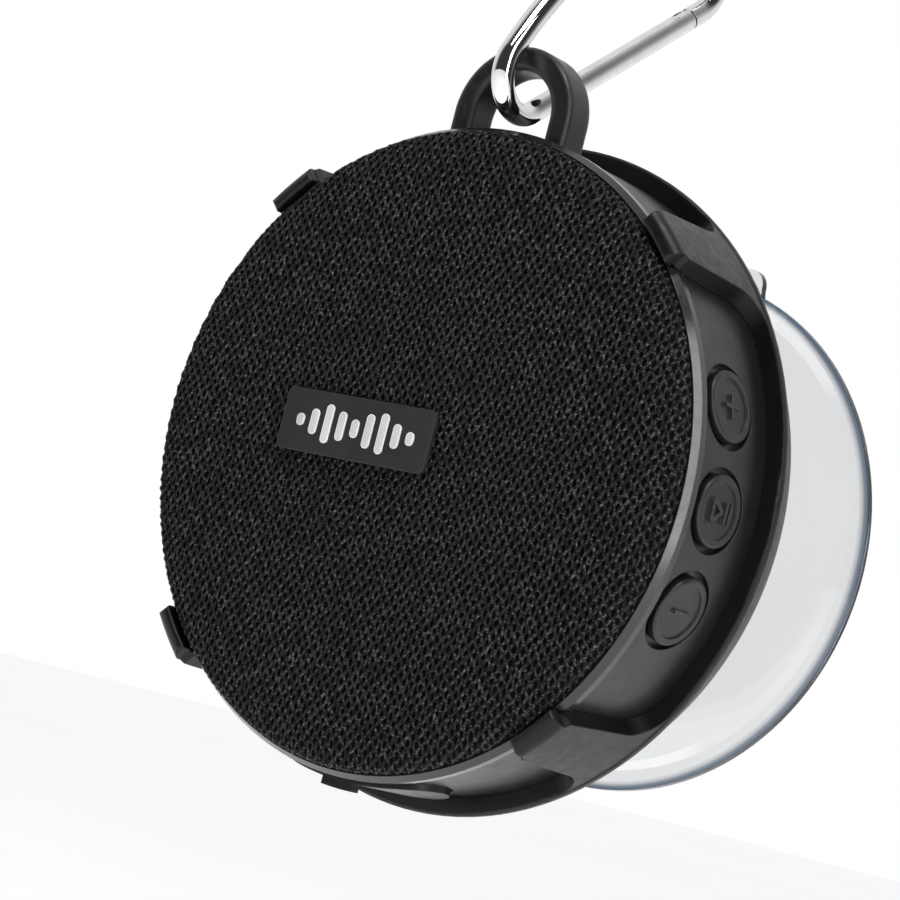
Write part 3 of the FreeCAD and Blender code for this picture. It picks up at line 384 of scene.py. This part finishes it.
def chains(name, odd, seed):
    """Every second chain of the net, as tubes of four sides that sway between their neighbours."""
    rng = np.random.RandomState(seed)
    points, faces = [], []
    edge = NET_ALONG[-1]
    reach = int(edge / WALE)
    base = 0
    for j in range(-reach + (reach + odd) % 2, reach + 1, 2):
        x0 = (j + 0.5) * WALE
        count = int(math.sqrt(max(edge ** 2 - x0 ** 2, 0)) / COURSE * SAMPLES)
        if count < 2:
            continue
        k = np.arange(-count, count + 1)
        n = len(k)
        wander = np.cumsum(rng.normal(0, WANDER, n))
        up = k * COURSE / SAMPLES + rng.normal(0, STRETCH, n)
        lean = 1 if odd else -1
        phase = math.pi * up / COURSE
        across = x0 + lean * SWAY * np.cos(phase) + wander - np.linspace(wander[0], wander[-1], n)
        lift = -lean * LIFT * np.sin(phase) + rng.normal(0, WAVER, n)
        run = np.stack([np.gradient(across), np.gradient(up)], 1)
        run /= np.linalg.norm(run, axis=1)[:, None]
        width = YARN_HALF_WIDTH * (1 + KNOT * np.cos(phase) ** 2) * (1 + rng.normal(0, FRAY, n))
        rings = [laid(across + width * run[:, 1], up - width * run[:, 0], lift),
                 laid(across, up, lift + YARN_HALF_THICK),
                 laid(across - width * run[:, 1], up + width * run[:, 0], lift),
                 laid(across, up, lift - YARN_HALF_THICK)]
        points.append(np.stack(rings, 1).reshape(-1, 3))
        for i in range(n - 1):
            for side in range(4):
                a = base + 4 * i + side
                b = base + 4 * i + (side + 1) % 4
                faces.append((a, b, b + 4, a + 4))
        last = base + 4 * (n - 1)
        faces.append((base + 3, base + 2, base + 1, base))
        faces.append((last, last + 1, last + 2, last + 3))
        base += 4 * n
    return make_piece(name, np.concatenate(points), faces, FINISHES["mesh"], "speaker_body")


chains_left = chains("mesh_chains_left", 0, 11)
chains("mesh_chains_right", 1, 23)
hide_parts("grille_mesh")

# a near-black lining sheet stands in for the shade seen through the holes (painted shade), and a hem
# closes the net's edge inside the bezel
spots = np.linspace(0.5 * MM, NET_ALONG[-1], 90)
behind = (0.15 - 0.15 * (spots / NET_ALONG[-1]) ** 12) * MM    # the lining comes forward at the edge
front_skin = np.stack(on_net(spots, -behind), 1)
back_skin = np.stack(on_net(spots, -behind - 0.06 * MM), 1)[::-1]
lathe("hole_shade_backing", np.concatenate([front_skin, back_skin]), hole_shade_lining, "speaker_body")
HEM = [(51.75, -0.2), (52.0, -0.35), (52.3, -0.15), (52.38, 0.4), (52.38, 1.42), (51.9, 1.42)]
lathe("mesh_hem", [(r * MM, d * MM) for r, d in HEM], hole_shade_lining, "speaker_body", 256)


# ---- floor, light and camera --------------------------------------------
FLOOR_RADIUS = 8.0
FLOOR_DROP = 0.12                 # below the speaker
FLOOR_GLOW = 0.55                 # a lit white table: its far edge still shows, faintly, against the room


def pale_floor():
    """Wide round floor under the speaker."""
    f = Finish("pale_floor")
    f.color(f.tint(f.noise(0.4, 3), grey(0.86), grey(0.9)))
    f.roughness(f.spread(f.noise(0.05, 3), 0.75, 0.9))
    f.set(Emission_Color=(1, 1, 1, 1), Emission_Strength=FLOOR_GLOW)
    mesh = bpy.data.meshes.new("floor")
    steps = 96
    z = cad_box[0][2] - FLOOR_DROP
    turns = [2 * math.pi * k / steps for k in range(steps)]
    ring = [(FLOOR_RADIUS * math.cos(turn), FLOOR_RADIUS * math.sin(turn), z) for turn in turns]
    mesh.from_pydata(ring, [], [tuple(range(steps))])
    mesh.materials.append(f.material)
    floor = bpy.data.objects.new("floor", mesh)
    bpy.context.scene.collection.objects.link(floor)


LAMP_DISTANCE = 0.8


def soft_box(name, direction, size, power):
    """Rectangular area light that faces the middle of the speaker."""
    light = bpy.data.lights.new(name, "AREA")
    light.shape = "RECTANGLE"
    light.size, light.size_y = size
    light.energy = power
    lamp = bpy.data.objects.new(name, light)
    middle = Vector((0, RIM_Y / 2, 0))
    place = Vector(direction).normalized() * LAMP_DISTANCE + middle
    lamp.location = place
    lamp.rotation_euler = (middle - place).to_track_quat("-Z", "Y").to_euler()
    bpy.context.scene.collection.objects.link(lamp)


BEHIND = (-0.632, 0.771, 0.079)   # fixed, and along the camera's first line of sight
WHITE_FROM = 0.38                 # cosine of the angle from there up to which the room is white
DIM_FROM, DIM_LEVEL = -0.2, 0.05  # cosine from which it is dim, and how dim


def studio():
    """White behind the speaker, dim in front of it, as in a studio; plain white to the eye."""
    world = bpy.data.worlds.new("studio")
    bpy.context.scene.world = world
    world.use_nodes = True
    tree = world.node_tree
    tree.nodes.clear()
    add, link = tree.nodes.new, tree.links.new
    place = add("ShaderNodeTexCoord")
    facing = add("ShaderNodeVectorMath")
    facing.operation = "DOT_PRODUCT"
    facing.inputs[1].default_value = BEHIND
    link(place.outputs["Generated"], facing.inputs[0])
    level = add("ShaderNodeMapRange")
    level.interpolation_type = "SMOOTHSTEP"
    limits = (("From Min", DIM_FROM), ("From Max", WHITE_FROM), ("To Min", DIM_LEVEL), ("To Max", 1.0))
    for key, number in limits:
        level.inputs[key].default_value = number
    link(facing.outputs["Value"], level.inputs["Value"])
    room = add("ShaderNodeBackground")
    link(level.outputs["Result"], room.inputs["Strength"])
    seen = add("ShaderNodeBackground")
    seen.inputs["Strength"].default_value = 1.0
    seen.inputs["Color"].default_value = (1, 1, 1, 1)
    path = add("ShaderNodeLightPath")
    mix = add("ShaderNodeMixShader")
    out = add("ShaderNodeOutputWorld")
    link(path.outputs["Is Camera Ray"], mix.inputs["Fac"])
    link(room.outputs[0], mix.inputs[1])
    link(seen.outputs[0], mix.inputs[2])
    link(mix.outputs[0], out.inputs["Surface"])
    soft_box("key", (0.899, -0.31, 0.309), (0.2, 1.0), 4.0)
    soft_box("top", (0.25, -0.35, 1.0), (0.35, 0.25), 2.8)


CAMERA_AZIMUTH = math.radians(39.35)
CAMERA_ELEVATION = math.radians(-4.53)
CAMERA_ROLL = math.radians(14.37)
CAMERA_DISTANCE = 0.5
CAMERA_LENS = 125.64
AIM_RIGHT, AIM_UP = 6.007 * MM, -0.366 * MM   # where the camera aims, from the rim's centre


def camera():
    """The camera stands in front, to the right and a little below, tilted."""
    flat = math.cos(CAMERA_ELEVATION)
    back = Vector((math.sin(CAMERA_AZIMUTH) * flat, -math.cos(CAMERA_AZIMUTH) * flat,
                   math.sin(CAMERA_ELEVATION)))
    level_up = (Vector((0, 0, 1)) - back * back.z).normalized()
    level_right = level_up.cross(back)
    right = level_right * math.cos(CAMERA_ROLL) + level_up * math.sin(CAMERA_ROLL)
    up = back.cross(right)
    rim_centre = Vector((0, RIM_Y, 0))
    place = rim_centre + back * CAMERA_DISTANCE
    target = rim_centre + right * AIM_RIGHT + up * AIM_UP
    back = (place - target).normalized()
    right = up.cross(back).normalized()
    up = back.cross(right)
    data = bpy.data.cameras.new("camera")
    data.lens = CAMERA_LENS
    data.sensor_width = 36
    data.clip_start = 0.01
    eye = bpy.data.objects.new("camera", data)
    eye.matrix_world = Matrix.Translation(place) @ Matrix((right, up, back)).transposed().to_4x4()
    bpy.context.scene.collection.objects.link(eye)
    bpy.context.scene.camera = eye


pale_floor()
studio()
camera()
bpy.context.scene.view_settings.view_transform = "Standard"
